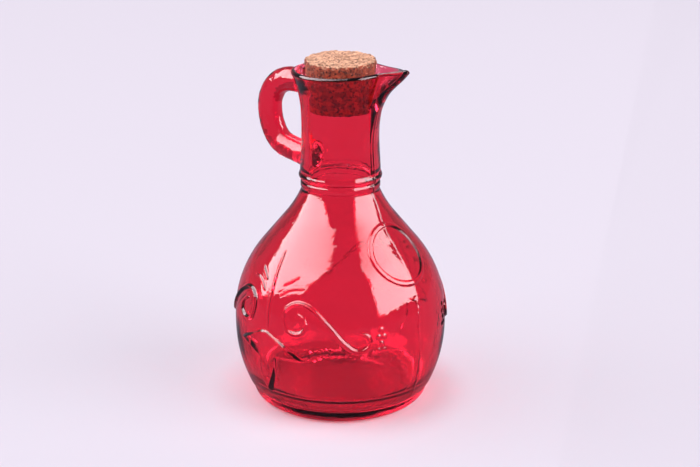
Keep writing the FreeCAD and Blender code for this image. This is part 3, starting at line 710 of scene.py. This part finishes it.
def stained_glass():
    """Soda-lime glass pressed in a mould, its outside sprayed with a transparent red stain.

    The stain gives the same clear red in thin and thick places, a little cloudy, under sharp reflections. The
    iron mould leaves a slow wave 9 mm long in the surface, and a fine skin of 1.6 mm that frays their edges.
    """
    material, tree = start_material("red_stained_pressed_glass")
    place = add(tree, "ShaderNodeTexCoord").outputs["Object"]
    cloud = add(tree, "ShaderNodeTexNoise", {"Vector": place, "Scale": 60.0, "Detail": 3.0})
    tint = add(tree, "ShaderNodeMix", {0: cloud.outputs["Fac"], 6: colour("#F3213A"), 7: colour("#F92845")},
               data_type="RGBA")
    slow = add(tree, "ShaderNodeTexNoise", {"Vector": place, "Scale": 1 / (9 * MM), "Detail": 1.0})
    waves = add(tree, "ShaderNodeBump",
                {"Height": slow.outputs["Fac"], "Strength": 1.0, "Distance": 0.22 * MM})
    peel = add(tree, "ShaderNodeTexNoise", {"Vector": place, "Scale": 1 / (1.6 * MM), "Detail": 2.0})
    bump = add(tree, "ShaderNodeBump",
               {"Height": peel.outputs["Fac"], "Strength": 1.0, "Distance": 0.045 * MM,
                "Normal": waves.outputs["Normal"]})
    shader = add(tree, "ShaderNodeBsdfPrincipled",
                 {"Base Color": tint.outputs[2], "Roughness": 0.0, "IOR": 1.5, "Transmission Weight": 1.0,
                  "Specular Tint": colour("#FFEAED"), "Normal": bump.outputs["Normal"]})
    add(tree, "ShaderNodeOutputMaterial", {"Surface": shader.outputs[0]})
    return material


def clear_glass():
    """The bare inside of the same glass: nearly colourless and smooth, with crisp inner reflections."""
    material, tree = start_material("clear_pressed_glass")
    shader = add(tree, "ShaderNodeBsdfPrincipled",
                 {"Base Color": colour("#FFF9FA"), "Roughness": 0.0, "IOR": 1.5,
                  "Transmission Weight": 1.0})
    add(tree, "ShaderNodeOutputMaterial", {"Surface": shader.outputs[0]})
    return material


def granulated_cork():
    """Cork granules glued, pressed and turned to a taper.

    The eye sees matt tan grains 1.7 mm wide in uneven tones, with dark pores between them. The upright faces
    are drawn darker and redder, as painted shade and painted red light from the glass round them.
    """
    material, tree = start_material("granulated_cork")
    place = add(tree, "ShaderNodeTexCoord").outputs["Object"]
    grains = add(tree, "ShaderNodeTexVoronoi", {"Vector": place, "Scale": 1 / (GRANULE * MM)})
    shade = add(tree, "ShaderNodeSeparateColor", {"Color": grains.outputs["Color"]})
    tone = add(tree, "ShaderNodeValToRGB", {"Fac": shade.outputs[0]})
    tone.color_ramp.elements[0].color = colour("#8D5D42")
    tone.color_ramp.elements[1].color = colour("#E0A584")
    fine = add(tree, "ShaderNodeTexNoise", {"Vector": place, "Scale": 1 / (0.9 * MM), "Detail": 4.0})
    pores = add(tree, "ShaderNodeMapRange", {"Value": fine.outputs["Fac"], 1: 0.535, 2: 0.62})
    both = add(tree, "ShaderNodeMix", {0: pores.outputs[0], 6: tone.outputs[0], 7: colour("#54301E")},
               data_type="RGBA")
    faces = add(tree, "ShaderNodeSeparateXYZ", {0: add(tree, "ShaderNodeNewGeometry").outputs["Normal"]})
    # painted shade and painted light: upright faces are drawn darker and redder, as if shaded and lit red by
    # the glass
    painted_side_shade = add(tree, "ShaderNodeMapRange", {"Value": faces.outputs[2], 1: 0.75, 2: 0.25})
    both = add(tree, "ShaderNodeMix", {0: painted_side_shade.outputs[0], 6: both.outputs[2], 7: colour("#C4755C")},
               data_type="RGBA", blend_type="MULTIPLY")
    bump = add(tree, "ShaderNodeBump", {"Height": fine.outputs["Fac"], "Strength": 0.5, "Distance": 0.3 * MM})
    shader = add(tree, "ShaderNodeBsdfPrincipled",
                 {"Base Color": both.outputs[2], "Roughness": 0.9, "Normal": bump.outputs["Normal"]})
    add(tree, "ShaderNodeOutputMaterial", {"Surface": shader.outputs[0]})
    return material


def sweep_paper():
    """Uncoated lavender-grey paper, matt, which the two softboxes light up to nearly white.

    Round the bottle's foot a darker spot is painted on it as painted shade for the foot's shadow, and a red
    glow as painted light for what comes through the glass. In the glass's reflections it is drawn darker than
    it is seen, and for rays through the glass paler. These tones were set one by one.
    """
    material, tree = start_material("pale_sweep_paper")
    ray = add(tree, "ShaderNodeLightPath")
    place = add(tree, "ShaderNodeTexCoord").outputs["Object"]
    far = add(tree, "ShaderNodeVectorMath", {0: place, 1: place}, operation="DOT_PRODUCT").outputs["Value"]
    # painted shade: seen through the glass, less of the pale floor shows round the foot, a darker spot for
    # its shadow
    beyond_painted_shade_through = add(tree, "ShaderNodeMapRange",
                     {"Value": far, 1: (SHADE_START * MM) ** 2, 2: (SHADE_THROUGH * MM) ** 2,
                      3: 0.35, 4: 0.72}, interpolation_type="SMOOTHSTEP")
    shade = add(tree, "ShaderNodeMix",
                {0: ray.outputs["Is Glossy Ray"], 6: colour("#CFC9D6"), 7: colour("#817B8A")},
                data_type="RGBA")
    lit = add(tree, "ShaderNodeBsdfDiffuse", {"Color": shade.outputs[2]})
    pale = add(tree, "ShaderNodeEmission", {"Color": colour("#EFE6F5"), "Strength": 1.0})
    # painted shade: seen directly, less of the pale floor shows round the foot, a darker spot for its shadow
    beyond_painted_shade_seen = add(tree, "ShaderNodeMapRange",
                        {"Value": far, 1: (SHADE_START * MM) ** 2, 2: (SHADE_END * MM) ** 2,
                         3: 0.1, 4: 0.63}, interpolation_type="SMOOTHSTEP")
    seen = add(tree, "ShaderNodeMath", {0: ray.outputs["Is Camera Ray"], 1: beyond_painted_shade_seen.outputs[0]},
               operation="MULTIPLY")
    through = add(tree, "ShaderNodeMath",
                  {0: ray.outputs["Is Transmission Ray"], 1: beyond_painted_shade_through.outputs[0], 2: seen.outputs[0]},
                  operation="MULTIPLY_ADD")
    both = add(tree, "ShaderNodeMixShader", {0: through.outputs[0], 1: lit.outputs[0], 2: pale.outputs[0]})
    # painted light: the floor glows red round the foot, standing in for light through the red glass
    fall = add(tree, "ShaderNodeMath", {0: far, 1: -1 / (GLOW_FADE * MM) ** 2}, operation="MULTIPLY")
    near = add(tree, "ShaderNodeMath", {0: fall.outputs[0]}, operation="EXPONENT")
    ring = add(tree, "ShaderNodeMapRange",
               {"Value": far, 1: (GLOW_START * MM) ** 2, 2: (GLOW_FULL * MM) ** 2, 3: 0.0, 4: 0.15})
    glow = add(tree, "ShaderNodeMath", {0: near.outputs[0], 1: ring.outputs[0]}, operation="MULTIPLY")
    red = add(tree, "ShaderNodeEmission", {"Color": colour("#FF2738"), "Strength": glow.outputs[0]})
    lit_and_painted_red_glow = add(tree, "ShaderNodeAddShader", {0: both.outputs[0], 1: red.outputs[0]})
    add(tree, "ShaderNodeOutputMaterial", {"Surface": lit_and_painted_red_glow.outputs[0]})
    return material


# ------------------------------------------------------------ stage

def make_camera():
    """The camera, which looks a little down at a point on the bottle's axis."""
    camera = bpy.data.objects.new("camera", bpy.data.cameras.new("camera"))
    bpy.context.scene.collection.objects.link(camera)
    camera.data.sensor_width = 36.0
    camera.data.lens = CAMERA_LENS
    camera.data.shift_x = CAMERA_SHIFT
    away = direction(CAMERA_BEARING, CAMERA_PITCH)
    camera.location = Vector((0, 0, AIM_HEIGHT * MM)) + away * CAMERA_DISTANCE * MM
    camera.rotation_euler = (-away).to_track_quat("-Z", "Y").to_euler()
    bpy.context.scene.camera = camera


def make_softbox(name, place, back, across, size):
    """A large soft panel, brightest along one edge.

    Its place, its back and its first edge are given as bearings from the camera's and rises, its place also
    with a distance in metres. It is two lamps in one place: the glass mirrors the bright one, and matt
    surfaces get a weaker one, so that they aren't burnt out.
    """
    axis_z = direction(CAMERA_BEARING + back[0], back[1])
    axis_x = direction(CAMERA_BEARING + across[0], across[1])
    axis_y = axis_z.cross(axis_x).normalized()
    turn = Matrix((axis_y.cross(axis_z), axis_y, axis_z)).transposed()
    for mirrored in (True, False):
        lamp = bpy.data.lights.new(name, "AREA")
        lamp.shape = "RECTANGLE"
        lamp.size, lamp.size_y = size
        strength = LAMP_STRENGTH if mirrored else LAMP_STRENGTH * PLAIN_SHARE
        lamp.energy = strength * math.pi * size[0] * size[1]
        lamp.use_nodes = True
        tree = lamp.node_tree
        tree.nodes.clear()
        panel_place = add(tree, "ShaderNodeNewGeometry").outputs["Parametric"]
        sides = add(tree, "ShaderNodeSeparateXYZ", {0: panel_place})
        fade = add(tree, "ShaderNodeMapRange", {"Value": sides.outputs[1], 1: 0.4, 2: 1.0, 3: 1.15, 4: 0.3})
        glow = add(tree, "ShaderNodeEmission", {"Color": colour("#FFFFFF"), "Strength": fade.outputs[0]})
        add(tree, "ShaderNodeOutputLight", {"Surface": glow.outputs[0]})
        panel = bpy.data.objects.new(name, lamp)
        bpy.context.scene.collection.objects.link(panel)
        away = direction(CAMERA_BEARING + place[0], place[1]) * place[2]
        panel.matrix_world = Matrix.Translation(away) @ turn.to_4x4()
        panel.visible_camera = False
        panel.visible_diffuse = not mirrored
        panel.visible_glossy = panel.visible_transmission = mirrored


def make_floor():
    """The sheet of paper that the bottle stands on."""
    turns = np.linspace(0, 2 * math.pi, FLOOR_SIDES, endpoint=False)
    points = np.vstack([[(0, 0, -FLOOR_GAP)], ring_of(FLOOR_RADIUS, -FLOOR_GAP, turns)])
    faces = [(0, 1 + k, 1 + (k + 1) % FLOOR_SIDES) for k in range(FLOOR_SIDES)]
    floor = add_object("floor", points, faces, [sweep_paper()])


def make_world():
    """A pale room: dim as light, bright behind the bottle, and in between for rays through the glass."""
    world = bpy.data.worlds.new("room")
    bpy.context.scene.world = world
    world.use_nodes = True
    tree = world.node_tree
    tree.nodes.clear()
    ray = add(tree, "ShaderNodeLightPath")
    dim = add(tree, "ShaderNodeBackground", {"Color": colour("#EAE3EF"), "Strength": WORLD_DIM})
    pale = add(tree, "ShaderNodeBackground", {"Color": colour("#EFE7F5"), "Strength": 1.0})
    seen = add(tree, "ShaderNodeMath", {0: ray.outputs["Is Transmission Ray"], 1: WORLD_THROUGH,
                                        2: ray.outputs["Is Camera Ray"]}, operation="MULTIPLY_ADD")
    both = add(tree, "ShaderNodeMixShader", {0: seen.outputs[0], 1: dim.outputs[0], 2: pale.outputs[0]})
    add(tree, "ShaderNodeOutputWorld", {"Surface": both.outputs[0]})


make_camera()
make_world()
make_floor()
make_softbox("left_softbox", (-70, 52, 2.5), (-130, 50), (3, 30), (3.4, 3.6))
make_softbox("right_softbox", (66.6, 45, 3.4), (75.5, 0), (165.5, 0), (2.3, 3.94))
bpy.context.scene.view_settings.view_transform = "Standard"

bottle = make_glass(stained_glass(), clear_glass())
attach(bottle, "bottle")
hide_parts("glass_bottle")

cork = make_cork(granulated_cork())
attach(cork, "cork")
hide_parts("cork_stopper")
